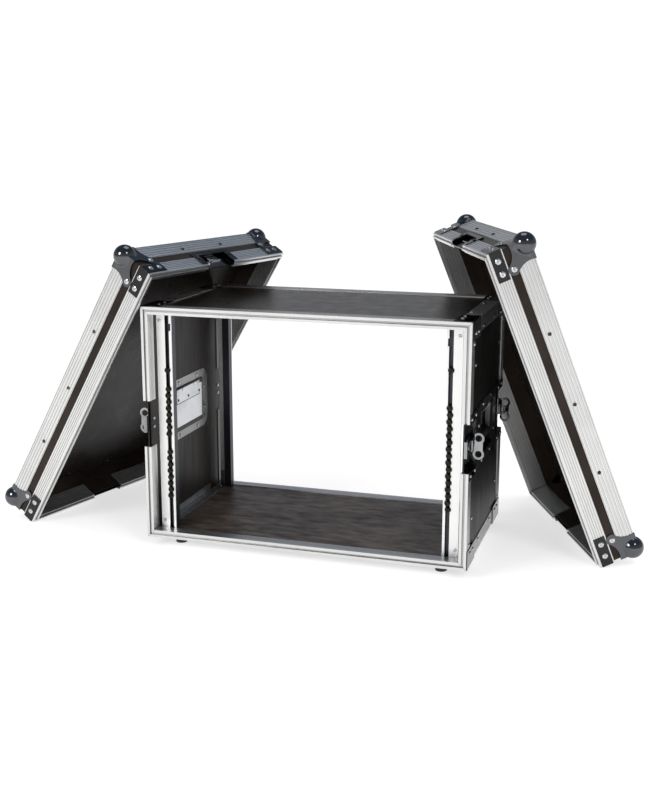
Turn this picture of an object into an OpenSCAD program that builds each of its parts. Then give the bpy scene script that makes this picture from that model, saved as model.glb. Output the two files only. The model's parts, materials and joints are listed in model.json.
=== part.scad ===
// Double-door rack flight case for 19-inch equipment, with both lids taken off and
// leaning against its sides. Millimetres, +Z up. The origin is on the floor, under the
// middle of the body. The front opening faces -Y and the rear opening faces +Y.

/* [Overall size] */
// Width of the body and of each lid, over the closing profiles
body_w = 535; // [520:1:660]
// Height of the body and of each lid, without the feet
body_h = 385; // [320:1:500]
// Depth of the body from its front opening to its rear opening
body_d = 304; // [250:1:400]
// Depth of a lid from its open edge to its outer face
lid_d = 68.5; // [60:0.5:100]

/* [Boards] */
// Thickness of the laminated plywood of the body and of the lids' side boards
board_t = 9; // [6.5:0.5:12]
// Thickness of the plywood of a lid's large panel
lid_panel_t = 7; // [4:0.5:9]

/* [Closing profiles and edge angles] */
// Thickness of an aluminium wing with its ribs
wing_t = 1.5; // [1.2:0.1:2.5]
// Height of the ribs on the wings
rib_h = 0.5; // [0.2:0.1:0.8]
// Width of one rib
rib_w = 2.6; // [1.5:0.1:3]
// Number of ribs on each wing and each angle leg
rib_count = 5; // [3:1:6]
// Thickness of the closing profile's lip, from its face to the board's edge
lip_t = 5; // [4:0.5:7]
// Length of a closing profile's outer wing, from the face of its lip
outer_wing = 24.8; // [18:0.1:30]
// Length of the inner wing on the body's closing profiles
body_inner_wing = 21; // [15:0.5:24]
// Length of the inner wing on the lids' closing profiles
lid_inner_wing = 32; // [20:0.5:36]
// Width of the tongue on the lids' closing profiles
tongue_w = 3.2; // [2:0.1:4]
// Height of the tongue on the lids' closing profiles
tongue_h = 3; // [2:0.1:3.5]
// Clearance between the tongue and its groove, on each side
tongue_gap = 0.2; // [0.1:0.05:0.4]
// Leg of the body's edge angles
body_angle = 25; // [18:0.5:32]
// Leg of the lids' edge angles
lid_angle = 29; // [20:0.5:34]
// Gap left at a mitre or between two butted boards
joint_gap = 0.25; // [0.1:0.05:0.5]

/* [Corner hardware] */
// Thickness of pressed steel corners, braces and dishes
steel_t = 1.2; // [0.8:0.1:1.6]
// Radius of a lid's ball corner
ball_r = 18; // [15:0.5:22]
// Depth of a ball's centre inside each of the three faces it covers
ball_in = 7.5; // [5:0.5:10]
// Distance of a ball corner's rivets from the two edges of their face
ball_rivet_in = 36; // [30:0.5:40]
// Length of the plates at the lids' open corners
plate_long = 48; // [40:1:60]
// Radius of the rounded end of a ball corner's petal
petal_r = 9.5; // [8:0.5:10]
// Length of the body's corner braces, front to back
brace_long = 62; // [50:1:80]
// Width of the body's corner braces
brace_wide = 29; // [26:0.5:36]

/* [Rivets] */
// Radius of the large rivet heads
big_rivet_r = 4.7; // [3.5:0.1:5.5]
// Radius of the small rivet heads
small_rivet_r = 3; // [2:0.1:3.5]
// Height of a rivet head
rivet_h = 1.5; // [1:0.1:2]

/* [Rack rails] */
// Distance between the screw rows of a left and a right rail
rail_spacing = 465.1; // [465.1:0.1:466]
// Setback of a rail's front face behind the face of the closing profile
rail_back = 22; // [21.5:0.5:40]
// Thickness of a rail's walls
rail_t = 2; // [1.5:0.1:3]
// Width of the slot along a rail
slot_w = 7; // [6.5:0.1:8]
// Width of a rail's lip on the inner side of its slot
rail_lip = 4; // [3:0.1:6]
// Width of a rail's flange on the outer side of its slot
rail_flange = 14.5; // [12:0.5:18]
// Depth of a rail's inner side
rail_deep = 15; // [12:0.5:25]
// Distance of the loading notch's top from the top of the body
notch_down = 29; // [20:1:60]
// Height of the loading notch
notch_h = 12; // [12:0.5:20]

/* [Rack screws] */
// Pitch of neighbouring rack screws
screw_pitch = 10.7; // [10.6:0.05:15]
// Radius of a cup washer
washer_r = 5.2; // [4.5:0.1:5.3]
// Radius of a rack screw's shank
shank_r = 3; // [2:0.1:3.2]
// Heights above the body's underside of the lowest left screw of each group
left_rows = [68, 173.6, 279.7];
// Number of screws in each left group
left_counts = [8, 8, 1];
// Heights above the body's underside of the lowest right screw of each group
right_rows = [88.6, 307.6];
// Number of screws in each right group
right_counts = [16, 1];
// Sideways stagger of neighbouring screws
stagger = 0.45; // [0:0.05:0.5]

/* [Handles] */
// Length of a handle dish's flange
handle_long = 168; // [150:1:180]
// Height of a handle dish's flange
handle_high = 105; // [95:1:120]
// Length of the recess in a handle dish
recess_long = 112; // [100:1:120]
// Height of the recess in a handle dish
recess_high = 74; // [66:1:80]
// Depth of the recess in a handle dish
recess_deep = 14; // [13:0.5:18]
// Radius of a handle's pivot pin
pin_r = 2.5; // [2:0.1:3]
// Radius of a handle's rubber grip
grip_r = 5.4; // [4:0.1:5.8]
// Distance from the pivot pin to the middle of the grip
grip_reach = 42; // [34:0.5:48]

/* [Latches] */
// Height of a latch dish's flange, along the closing profile
dish_wide = 102; // [90:1:120]
// Height of the recess in a latch dish
dish_box = 74; // [70:1:84]
// Length of a body latch dish, from the closing face
dish_long = 56; // [52:1:70]
// Length of a lid catch dish, from the open edge
catch_long = 34; // [28:1:36]
// Depth of the recess of a dish below the outer face
dish_deep = 7.2; // [6.8:0.1:7.5]
// Distance of the rotor's axis from the closing face
rotor_back = 25; // [24:0.5:27]
// Radius of the rotor disc
rotor_r = 11; // [10:0.5:12]
// Throw of the rotor's crank pin
crank = 4; // [3:0.5:5]
// Half of the wing's span
wing_half = 21; // [16:0.5:24]
// Height of the wing above its hinge pin
wing_out = 19; // [14:0.5:20]

/* [Feet] */
// Height of the rubber feet below the body
foot_h = 16; // [10:0.5:30]
// Radius of a rubber foot
foot_r = 10.5; // [8:0.5:14]

/* [Lids as they lean] */
// Lean of the left lid from the vertical, in degrees
left_lean = 31.7; // [25:0.1:36]
// Turn of the left lid about the vertical, in degrees
left_turn = -13.5; // [-14:0.1:-8]
// Lean of the right lid from the vertical, in degrees
right_lean = 22; // [18:0.1:30]
// Turn of the right lid about the vertical, in degrees
right_turn = 24; // [18:0.1:26]
// Gap between a lid's large panel and the rear top corner it leans over, left lid
left_lean_gap = 1.4; // [1.2:0.1:8]
// Gap between a lid's large panel and the rear top corner it leans over, right lid
right_lean_gap = 4; // [1.2:0.1:8]
// Distance of the left lid's middle behind the middle of the body's depth, along the lid
left_lid_back = 37.5; // [20:0.5:45]
// Distance of the body's rear top corner from the right lid's near edge
right_corner_v = 246; // [200:1:300]

/* [Hidden] */
$fn = 48;
lip_w = board_t + 2 * wing_t;
board_face = wing_t;
inner_face = wing_t + board_t;
top_z = foot_h + body_h;
mid_z = foot_h + body_h / 2;
slot_mid = lip_w / 2;
base_t = wing_t - rib_h;
plate_wide = lid_d - ball_rivet_in - petal_r - joint_gap;
inner_h = body_h - 2 * inner_face;
lid_cavity = lid_d - wing_t - lid_panel_t;
left_corner_v = (body_d + body_h) / 2 - left_lid_back;
seat_gap = 0.2;
run_gap = 0.1;
eps = 0.01;
past = 1;
far = 1000;
rail_x = rail_spacing / 2;
rail_in = rail_x - slot_w / 2 - rail_lip;
rail_out = rail_x + slot_w / 2 + rail_flange;
nut_room = 2.2;
nut_t = 4.4;
nut_side = nut_room - 0.6;
nut_half_h = 4.5;
cup_t = 2.2;
head_r = 3.9;
cup_slope = 0.8;
head_t = 2.6;
head_edge_t = 1.56;
head_slope = 0.9;
socket_r = 1.6;
socket_deep = 1.4;
ends = [-1, 1];

bright = [0.86, 0.87, 0.88];
laminate = [0.09, 0.08, 0.08];
steel = [0.75, 0.76, 0.78];
zinc = [0.62, 0.63, 0.65];
black_steel = [0.12, 0.12, 0.13];
rubber = [0.05, 0.05, 0.05];
rail_white = [0.9, 0.9, 0.91];

LATCH_NODES = [
    "front_left_hook", "front_left_rotor", "front_left_wing",
    "front_right_hook", "front_right_rotor", "front_right_wing",
    "rear_left_hook", "rear_left_rotor", "rear_left_wing",
    "rear_right_hook", "rear_right_rotor", "rear_right_wing"
];
LID_NODES = [
    "left_lid_panel", "left_lid_boards", "left_lid_angles", "left_lid_frame",
    "left_lid_ball_corners", "left_lid_corner_plates", "left_lid_catch_dishes",
    "left_lid_keepers", "left_lid_rivets",
    "right_lid_panel", "right_lid_boards", "right_lid_angles", "right_lid_frame",
    "right_lid_ball_corners", "right_lid_corner_plates", "right_lid_catch_dishes",
    "right_lid_keepers", "right_lid_rivets"
];
BODY_NODES = [
    "top_panel", "bottom_panel", "left_panel", "right_panel",
    "top_edge_angles", "bottom_edge_angles", "front_frame", "rear_frame",
    "corner_braces", "body_rivets",
    "front_left_rail", "front_right_rail", "rear_left_rail", "rear_right_rail",
    "rail_brackets", "floor_angles",
    "left_handle_dish", "right_handle_dish", "handle_backing_frames",
    "left_handle_grip", "right_handle_grip", "handle_pins", "latch_dishes",
    "screws_left_bottom", "screws_left_middle", "screws_left_top",
    "screws_right_bottom", "screws_right_top",
    "feet", "foot_screws"
];

// ---------- shared helpers ----------

// A box given by its lowest and highest corners
module span(low, high) {
    translate(low) cube(high - low);
}

// A tubular rivet head standing on z = 0, with its dimple
module rivet(r) {
    rotate_extrude()
        polygon([
            [0, 0], [r, 0], [r, 0.35 * rivet_h], [0.85 * r, 0.75 * rivet_h],
            [0.6 * r, rivet_h], [0.38 * r, rivet_h], [0.25 * r, 0.6 * rivet_h],
            [0, 0.6 * rivet_h]
        ]);
}

// Left edges of the ribs spread evenly over a wing from a to b
function rib_starts(a, b) = [
    for (i = [0 : rib_count - 1]) a + (b - a) * (i + 0.5) / rib_count - rib_w / 2
];

// Closing profile's section: r runs in from the outer face, z back from the lip's face
module closing_section(inner_wing, tongue) {
    groove = tongue_w / 2 + tongue_gap;
    difference() {
        union() {
            square([lip_w, lip_t]);
            translate([rib_h, 0]) square([base_t, outer_wing]);
            translate([inner_face, 0]) square([base_t, inner_wing]);
            for (z = rib_starts(lip_t, outer_wing))
                translate([0, z]) square([rib_h + eps, rib_w]);
            for (z = rib_starts(lip_t, inner_wing))
                translate([lip_w - rib_h - eps, z]) square([rib_h + eps, rib_w]);
            if (tongue)
                translate([slot_mid - tongue_w / 2, -tongue_h]) square([tongue_w, tongue_h + eps]);
        }
        if (!tongue)
            translate([slot_mid - groove, -eps]) square([2 * groove, tongue_h + tongue_gap + eps]);
    }
}

// Edge angle's section, its corner at the origin and a leg along each axis
module angle_section(leg) {
    translate([0, rib_h]) square([leg, base_t]);
    translate([rib_h, rib_h]) square([base_t, leg - rib_h]);
    square([2 * base_t, rib_h + eps]);
    square([rib_h + eps, 2 * base_t]);
    for (a = rib_starts(wing_t, leg)) {
        translate([a, 0]) square([rib_w, rib_h + eps]);
        translate([0, a]) square([rib_h + eps, rib_w]);
    }
}

// A length of section along X, mitred at both ends, on the side y = 0 of a frame
module mitred_bar(length, reach) {
    intersection() {
        rotate([90, 0, 90]) linear_extrude(length) children();
        translate([0, 0, -far / 2]) linear_extrude(far)
            polygon([
                [joint_gap, -eps], [length - joint_gap, -eps],
                [length - reach - joint_gap, reach], [reach + joint_gap, reach]
            ]);
    }
}

// The bars of a frame of w by h in the XY plane, one section all round
module four_bars(w, h, reach) {
    mitred_bar(w, reach) children();
    translate([0, h, 0]) mirror([0, 1, 0]) mitred_bar(w, reach) children();
    rotate([0, 0, 90]) mirror([0, 1, 0]) mitred_bar(h, reach) children();
    translate([w, 0, 0]) mirror([1, 0, 0]) rotate([0, 0, 90]) mirror([0, 1, 0])
        mitred_bar(h, reach) children();
}

// Local frame of an opening: x across, y up, z into the body. end is -1 front, 1 rear
module opening_place(end) {
    translate([-body_w / 2, end * body_d / 2, foot_h])
        mirror([0, end < 0 ? 1 : 0, 0]) rotate([90, 0, 0]) children();
}

// Local frame of a body latch: x back from the closing face, y up, z out of the side
module latch_place(side, end) {
    translate([side * body_w / 2, end * body_d / 2, mid_z])
        mirror([side < 0 ? 1 : 0, 0, 0]) mirror([0, end > 0 ? 1 : 0, 0])
            rotate([90, 0, 90]) children();
}

// Local frame of a handle: x along the body, y up, z out of the side
module handle_place(side) {
    translate([side * body_w / 2, 0, mid_z])
        mirror([side < 0 ? 1 : 0, 0, 0]) rotate([90, 0, 90]) children();
}

// ---------- lids' places ----------

// How far up a lid its panel meets the body's rear top corner, and how far out it stands
function lid_u(lean, depth) = (top_z - depth * sin(lean)) / cos(lean);
function lid_x(lean, depth) = lid_u(lean, depth) * sin(lean) - depth * cos(lean);

// The left lid: x up the lid, y away from the front, z to its outer face
module left_lid_place() {
    depth = lid_cavity - left_lean_gap;
    translate([-body_w / 2, body_d / 2, 0]) rotate([0, 0, left_turn])
        translate([-lid_x(left_lean, depth), -left_corner_v, 0])
            rotate([0, left_lean - 90, 0]) children();
}

// The right lid: the same lid turned half round, with y towards the front
module right_lid_place() {
    depth = lid_cavity - right_lean_gap;
    translate([body_w / 2, body_d / 2, 0]) rotate([0, 0, right_turn])
        translate([lid_x(right_lean, depth), body_h - right_corner_v, 0])
            rotate([0, 0, 180]) rotate([0, right_lean - 90, 0]) children();
}

// ---------- body shell ----------

handle_hole_long = recess_long + 2 * seat_gap + 2 * steel_t;
handle_hole_high = recess_high + 2 * seat_gap + 2 * steel_t;
foot_inset = 45.5;
foot_x = body_w / 2 - foot_inset;
foot_y = body_d / 2 - outer_wing - foot_r - 2 * joint_gap;
foot_head_r = 4.5;
foot_head_t = 3;
foot_shank_r = 2.8;
foot_seat_t = 5;
foot_bore_gap = 1.5;
foot_bore_h = foot_h - foot_seat_t;
foot_taper = 1;

module flat_panel(z) {
    difference() {
        span([board_face - body_w / 2, lip_t - body_d / 2, z],
            [body_w / 2 - board_face, body_d / 2 - lip_t, z + board_t]);
        for (sx = ends, sy = ends)
            translate([sx * foot_x, sy * foot_y, z < mid_z ? z - past : top_z])
                cylinder(h = board_t + 2 * past, r = foot_shank_r + run_gap);
    }
}

module top_panel() {
    color(laminate) flat_panel(top_z - inner_face);
}

module bottom_panel() {
    color(laminate) flat_panel(foot_h + board_face);
}

// A side board, cut for its handle dish and pocketed for its two latch dishes
module side_panel(side) {
    pocket = dish_deep + steel_t + seat_gap;
    half = dish_box / 2 + steel_t + seat_gap;
    color(laminate) difference() {
        handle_place(side)
            span([lip_t - body_d / 2, inner_face - body_h / 2, -inner_face],
                [body_d / 2 - lip_t, body_h / 2 - inner_face, -board_face]);
        handle_place(side)
            span([-handle_hole_long / 2, -handle_hole_high / 2, -inner_face - past],
                [handle_hole_long / 2, handle_hole_high / 2, past]);
        for (end = ends)
            latch_place(side, end)
                span([-past, -half, -pocket], [dish_box_long + steel_t + seat_gap, half, past]);
    }
}

module edge_angle_pair(z, flip) {
    run = body_d - 2 * (outer_wing + joint_gap);
    color(bright) for (side = ends)
        translate([side * body_w / 2, -run / 2, z])
            mirror([side > 0 ? 1 : 0, 0, 0]) mirror([0, 0, flip])
                translate([0, run, 0]) rotate([90, 0, 0]) linear_extrude(run)
                    angle_section(body_angle);
}

module top_edge_angles() {
    edge_angle_pair(top_z, 1);
}

module bottom_edge_angles() {
    edge_angle_pair(foot_h, 0);
}

// A closing frame of the body, its uprights cut through at the latch dishes
module body_frame(end) {
    half = dish_box / 2 + steel_t + seat_gap;
    color(bright) opening_place(end) difference() {
        four_bars(body_w, body_h, lip_w) closing_section(body_inner_wing, false);
        for (x = [0, body_w])
            translate([x - 2 * lip_w, body_h / 2 - half, -past])
                cube([4 * lip_w, 2 * half, outer_wing + 2 * past]);
    }
}

module front_frame() {
    body_frame(-1);
}

module rear_frame() {
    body_frame(1);
}

brace_start = lip_t - 1;

// A brace wraps one front-to-back edge at one corner of the body
module corner_braces() {
    color(black_steel) for (side = ends, end = ends, up = [0, 1])
        translate([side * body_w / 2, end * body_d / 2, up ? top_z : foot_h])
            mirror([side > 0 ? 1 : 0, 0, 0]) mirror([0, end > 0 ? 1 : 0, 0])
                mirror([0, 0, up]) brace();
}

module brace() {
    difference() {
        span([-steel_t, brace_start, -steel_t], [brace_wide, brace_start + brace_long, brace_wide]);
        span([0, 0, 0], [far, far, far]);
    }
}

// Places of the rivets along a front-to-back edge: from the middle of the body, and from
// the free edge of the angle's leg
edge_rivet = 53;
edge_rivet_up = 6;
brace_rivet_in = 20;
wing_rivet_x = 20;
wing_rivet_y = 157;
board_rivet_x = 44;
board_rivet_y = 121;
brace_rivets = [27, 48];

module body_rivets() {
    color(steel) {
        for (side = ends, up = [0, 1]) translate([side * body_w / 2, 0, up ? top_z : foot_h])
            mirror([side > 0 ? 1 : 0, 0, 0]) mirror([0, 0, up]) edge_rivet_row();
        for (side = ends, end = ends) latch_place(side, end) {
            dish_rivets();
            side_rivets();
        }
        for (side = ends) handle_place(side) handle_rivets();
        for (side = ends, end = ends, up = [0, 1]) rail_place(side, end) rail_rivets(up);
    }
}

// Rivets on a side, above and below a latch: on the profile's wing and on the board behind it
module side_rivets() {
    for (s = ends) {
        translate([wing_rivet_x, s * wing_rivet_y, 0]) rivet(small_rivet_r);
        translate([board_rivet_x, s * board_rivet_y, -board_face]) rivet(small_rivet_r);
    }
}

module edge_rivet_row() {
    for (s = ends) {
        translate([body_angle - edge_rivet_up, s * edge_rivet, 0])
            rotate([180, 0, 0]) rivet(small_rivet_r);
        translate([0, s * edge_rivet, body_angle - edge_rivet_up])
            rotate([0, -90, 0]) rivet(small_rivet_r);
        for (b = brace_rivets) {
            translate([brace_rivet_in, s * (body_d / 2 - b), -steel_t])
                rotate([180, 0, 0]) rivet(small_rivet_r);
            translate([-steel_t, s * (body_d / 2 - b), brace_rivet_in])
                rotate([0, -90, 0]) rivet(small_rivet_r);
        }
    }
}

// ---------- rack rails ----------

// Local frame of a rail: x out from the middle of the body, y back from the rail's face
module rail_place(side, end) {
    mirror([side < 0 ? 1 : 0, 0, 0]) mirror([0, end > 0 ? 1 : 0, 0])
        translate([0, rail_back - body_d / 2, foot_h]) children();
}

channel_in = rail_x - slot_w / 2 - nut_room;
channel_out = rail_x + slot_w / 2 + nut_room;
channel_deep = rail_t + nut_t + 2 * seat_gap;

module rail_section() {
    difference() {
        union() {
            translate([rail_in, 0]) square([rail_out - rail_in, rail_t]);
            translate([rail_in, 0]) square([channel_in - rail_in, rail_deep]);
            translate([channel_in, channel_deep])
                square([channel_out + rail_t - channel_in, rail_t]);
            translate([channel_out, 0]) square([rail_t, channel_deep + rail_t]);
        }
        translate([rail_x - slot_w / 2, -past]) square([slot_w, rail_t + 2 * past]);
    }
}

module rail(side, end) {
    notch_top = body_h - notch_down;
    color(rail_white) rail_place(side, end) difference() {
        translate([0, 0, inner_face + seat_gap])
            linear_extrude(inner_h - 2 * seat_gap) rail_section();
        translate([rail_in - past, -past, notch_top - notch_h])
            cube([rail_lip + 2 * past, rail_t + past, notch_h]);
    }
}

bracket_w = rail_out - channel_out - rail_t - 2 * seat_gap;
bracket_h = 28;
bracket_foot = 22;
bracket_mid = channel_out + rail_t + seat_gap + bracket_w / 2;

// An angle bracket behind the outer flange, at the foot or the head of a rail
module rail_bracket() {
    translate([bracket_mid - bracket_w / 2, rail_t, inner_face]) {
        cube([bracket_w, wing_t, bracket_h]);
        cube([bracket_w, bracket_foot, wing_t]);
    }
}

module rail_brackets() {
    color(zinc) for (side = ends, end = ends, up = [0, 1])
        rail_place(side, end) translate([0, 0, up * body_h]) mirror([0, 0, up]) rail_bracket();
}

module rail_rivets(up) {
    translate([0, 0, up * body_h]) mirror([0, 0, up]) {
        translate([bracket_mid, 0, inner_face + bracket_h / 2])
            rotate([90, 0, 0]) rivet(small_rivet_r);
        translate([bracket_mid, rail_t + bracket_foot / 2 + wing_t, inner_face + wing_t])
            rivet(small_rivet_r);
    }
}

// Angles that tie the floor to the side boards
floor_angle_inset = 62;
floor_leg = 18;
wall_leg = 13;

module floor_angles() {
    run = body_d - 2 * floor_angle_inset;
    color(zinc) for (side = ends)
        translate([side * (body_w / 2 - inner_face), -run / 2, foot_h + inner_face])
            mirror([side > 0 ? 1 : 0, 0, 0]) {
                cube([floor_leg, run, wing_t]);
                cube([wing_t, run, wall_leg]);
            }
}

// ---------- rack screws ----------

// Side of neighbour i on its slot: screws sit alternately left and right of the middle
function side_of(i) = (i % 2 == 0) ? stagger : -stagger;

// One screw with its cup washer, and its sliding nut held in the channel
module rack_screw() {
    nut_half = slot_w / 2 + nut_side;
    rotate([90, 0, 0]) difference() {
        union() {
            cylinder(h = cup_t, r1 = washer_r, r2 = washer_r - cup_slope);
            cylinder(h = cup_t + head_edge_t, r = head_r);
            cylinder(h = cup_t + head_t, r = head_r - head_slope);
            translate([0, 0, -channel_deep + seat_gap])
                cylinder(h = channel_deep, r = shank_r);
        }
        translate([0, 0, cup_t + head_t - socket_deep])
            cylinder(h = socket_deep + past, r = socket_r, $fn = 6);
    }
    difference() {
        span([-nut_half, rail_t + seat_gap, -nut_half_h],
            [nut_half, rail_t + seat_gap + nut_t, nut_half_h]);
        translate([0, rail_t - past, 0]) rotate([-90, 0, 0])
            cylinder(h = nut_t + 4 * past, r = shank_r + run_gap);
    }
}

module screw_group(side, row, count) {
    color(black_steel) rail_place(side, -1)
        for (i = [0 : count - 1])
            translate([rail_x + side_of(i), 0, row + i * screw_pitch]) rack_screw();
}

module screws_left_bottom() {
    screw_group(-1, left_rows[0], left_counts[0]);
}

module screws_left_middle() {
    screw_group(-1, left_rows[1], left_counts[1]);
}

module screws_left_top() {
    screw_group(-1, left_rows[2], left_counts[2]);
}

module screws_right_bottom() {
    screw_group(1, right_rows[0], right_counts[0]);
}

module screws_right_top() {
    screw_group(1, right_rows[1], right_counts[1]);
}

// ---------- handles ----------

handle_corner = 22;
pin_down = 9;
pin_up = recess_high / 2 - pin_down;
pin_rise = 0.3;
pin_in = recess_deep / 2 - steel_t / 2 - pin_rise;
arm_t = 5;
arm_inset = 12;
arm_x = recess_long / 2 - arm_inset;
arm_wide = 2 * pin_r + 1;
eye_wall = 2.4;
eye_r = pin_r + eye_wall;
boss_t = 4;

module rounded_plate(long, high, corner) {
    square([long - 2 * corner, high], center = true);
    square([long, high - 2 * corner], center = true);
    for (sx = ends, sy = ends)
        translate([sx * (long / 2 - corner), sy * (high / 2 - corner)]) circle(corner);
}

// Pressed dish with its flange on the side board's face and its recess through the board
module handle_dish(side) {
    outer_l = recess_long + 2 * steel_t;
    outer_h = recess_high + 2 * steel_t;
    color(zinc) handle_place(side) difference() {
        union() {
            translate([0, 0, -board_face]) linear_extrude(steel_t)
                rounded_plate(handle_long, handle_high, handle_corner);
            translate([0, 0, -recess_deep]) linear_extrude(recess_deep - board_face + eps)
                square([outer_l, outer_h], center = true);
        }
        difference() {
            translate([0, 0, steel_t - recess_deep]) linear_extrude(recess_deep + past)
                square([recess_long, recess_high], center = true);
            for (s = ends) translate([s * (recess_long / 2 - boss_t / 2), pin_up, -pin_in])
                rotate([0, 90, 0]) cylinder(h = boss_t, r = eye_r, center = true);
        }
        translate([-recess_long / 2 - eps, pin_up, -pin_in])
            rotate([0, 90, 0]) cylinder(h = recess_long + 2 * eps, r = pin_r + run_gap / 2);
    }
}

module left_handle_dish() {
    handle_dish(-1);
}

module right_handle_dish() {
    handle_dish(1);
}

// Backing frame on the inside of the side board, under the tails of the dish's rivets
module handle_backing_frames() {
    color(zinc) for (side = ends) handle_place(side)
        translate([0, 0, -inner_face - steel_t]) linear_extrude(steel_t) difference() {
            rounded_plate(handle_long, handle_high, handle_corner);
            square([handle_hole_long, handle_hole_high], center = true);
        }
}

module handle_pins() {
    color(steel) for (side = ends) handle_place(side)
        translate([-recess_long / 2 + eps, pin_up, -pin_in])
            rotate([0, 90, 0]) cylinder(h = recess_long - 2 * eps, r = pin_r);
}

// Sprung grip, hanging in its recess: two arms on the pin and a rubber-covered bar
module handle_grip(side) {
    color(rubber) handle_place(side) translate([0, pin_up, -pin_in]) difference() {
        union() {
            for (s = ends) translate([s * arm_x, 0, 0]) {
                rotate([0, 90, 0]) cylinder(h = arm_t, r = eye_r, center = true);
                translate([0, -grip_reach / 2, 0])
                    cube([arm_t, grip_reach, arm_wide], center = true);
            }
            translate([0, -grip_reach, 0]) rotate([0, 90, 0])
                cylinder(h = 2 * arm_x + arm_t, r = grip_r, center = true);
        }
        rotate([0, 90, 0]) cylinder(h = recess_long, r = pin_r + run_gap, center = true);
    }
}

module left_handle_grip() {
    handle_grip(-1);
}

module right_handle_grip() {
    handle_grip(1);
}

module handle_rivets() {
    side_x = recess_long / 2 + steel_t + (handle_long - recess_long) / 4;
    high_y = recess_high / 2 + steel_t + (handle_high - recess_high) / 4;
    for (face = [0, 1]) translate([0, 0, face ? -inner_face - steel_t : steel_t - board_face])
        mirror([0, 0, face]) {
            for (sx = ends, sy = ends)
                translate([sx * recess_long / 3, sy * high_y, 0]) rivet(small_rivet_r);
            for (sx = ends, y = [-recess_high / 4, recess_high / 4])
                translate([sx * side_x, y, 0]) rivet(small_rivet_r);
        }
}

// ---------- latches ----------

dish_back = 8;
catch_back = 7;
dish_box_long = dish_long - dish_back;
catch_box_long = catch_long - catch_back;
flange_start = 4;
flange_least = 2;

// Pressed dish, open at the closing face; z = 0 is the outer face of the profiles
module dish(long, box_long) {
    half = dish_box / 2;
    difference() {
        union() {
            span([flange_start, -dish_wide / 2, 0], [long, dish_wide / 2, steel_t]);
            span([outer_wing + joint_gap, -dish_wide / 2, -board_face],
                [max(long, outer_wing + flange_least), dish_wide / 2, eps]);
            span([0, -half - steel_t, -dish_deep - steel_t],
                [box_long + steel_t, half + steel_t, eps]);
        }
        span([-past, -half, -dish_deep], [box_long, half, steel_t + past]);
    }
}

module latch_dishes() {
    color(steel) for (side = ends, end = ends)
        latch_place(side, end) difference() {
            dish(dish_long, dish_box_long);
            translate([rotor_back, 0, -dish_deep - steel_t - past])
                cylinder(h = steel_t + 2 * past, r = spindle_r);
        }
}

dish_rivet_y = dish_wide / 4 + dish_box / 4;
dish_rivet_front = 8;
dish_rivet_back = 9;
tail_back = 16;
tail_half = 7;

module dish_rivets() {
    for (s = ends, x = [flange_start + dish_rivet_front, dish_long - dish_rivet_back])
        translate([x, s * dish_rivet_y, steel_t]) rivet(small_rivet_r);
    for (s = ends) translate([tail_back, s * tail_half, -inner_face])
        rotate([180, 0, 0]) rivet(small_rivet_r);
}

spindle_r = 2.4;
hook_t = 2;
hook_low = 0.3;
hook_half = 13;
hook_front = -6;
travel = 2 * crank;
hook_end_gap = 1;
hook_back = dish_box_long - rotor_back - travel - hook_end_gap;
hook_lip = 3;
spindle_play = 0.4;
disc_gap = 0.3;
disc_low = hook_low + hook_t + disc_gap;
disc_t = 2.2;
crank_r = 1.5;
crank_gap = 1.2;
hinge_rise = 1.9;
hinge_up = disc_low + disc_t + hinge_rise;
hinge_pin_r = 1;
barrel_r = 1.8;
barrel_half = 6;
ear_t = 2.2;
wing_plate = 1.5;
loop_share = 0.46;
bridge_share = 0.75;
hole_share = 0.58;

// Sliding hook: x from the closing face, its window takes the spindle and the crank pin
module hook(side, end) {
    spindle_room = spindle_r + spindle_play;
    pin_room = crank_r + crank_gap;
    pin_x = rotor_back - crank;
    color(steel) latch_place(side, end) translate([0, 0, -dish_deep + hook_low]) difference() {
        union() {
            span([hook_front, -hook_half, 0], [rotor_back + hook_back, hook_half, hook_t]);
            span([hook_front, -hook_half, 0], [hook_front + hook_t, hook_half, hook_t + hook_lip]);
        }
        span([rotor_back - travel - spindle_room, -spindle_room, -past],
            [rotor_back + spindle_room, spindle_room, hook_t + past]);
        span([pin_x - pin_room, -crank - pin_room, -past],
            [pin_x + pin_room, crank + pin_room, hook_t + past]);
    }
}

// Rotor: spindle, disc, crank pin and the two ears that hold the wing's hinge pin
module rotor(side, end) {
    color(zinc) latch_place(side, end) translate([rotor_back, 0, -dish_deep]) {
        translate([0, 0, -steel_t]) cylinder(h = disc_low + steel_t + eps, r = spindle_r - run_gap);
        translate([0, 0, disc_low]) cylinder(h = disc_t, r = rotor_r);
        translate([-crank, 0, hook_low + seat_gap])
            cylinder(h = disc_low - hook_low - seat_gap + eps, r = crank_r);
        for (s = ends) translate([0, s * (barrel_half + ear_t / 2 + seat_gap), 0]) ear();
        translate([0, 0, hinge_up]) rotate([90, 0, 0])
            cylinder(h = 2 * barrel_half + ear_t, r = hinge_pin_r, center = true);
    }
}

module ear() {
    translate([0, 0, hinge_up]) rotate([90, 0, 0])
        cylinder(h = ear_t, r = barrel_r, center = true);
    translate([0, 0, (disc_low + disc_t + hinge_up) / 2 - eps])
        cube([2 * barrel_r, ear_t, hinge_up - disc_low - disc_t + 2 * eps], center = true);
}

// Butterfly wing: two open loops that stand on the hinge barrel
module wing_outline() {
    loop_r = wing_out * loop_share;
    loop_y = wing_half - loop_r;
    difference() {
        union() {
            for (s = ends) translate([s * loop_y, wing_out - loop_r]) circle(loop_r);
            translate([-loop_y, wing_out - loop_r]) square([2 * loop_y, loop_r * bridge_share]);
            translate([-barrel_half, 0]) square([2 * barrel_half, wing_out - loop_r]);
        }
        for (s = ends) translate([s * loop_y, wing_out - loop_r]) circle(loop_r * hole_share);
    }
}

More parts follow.
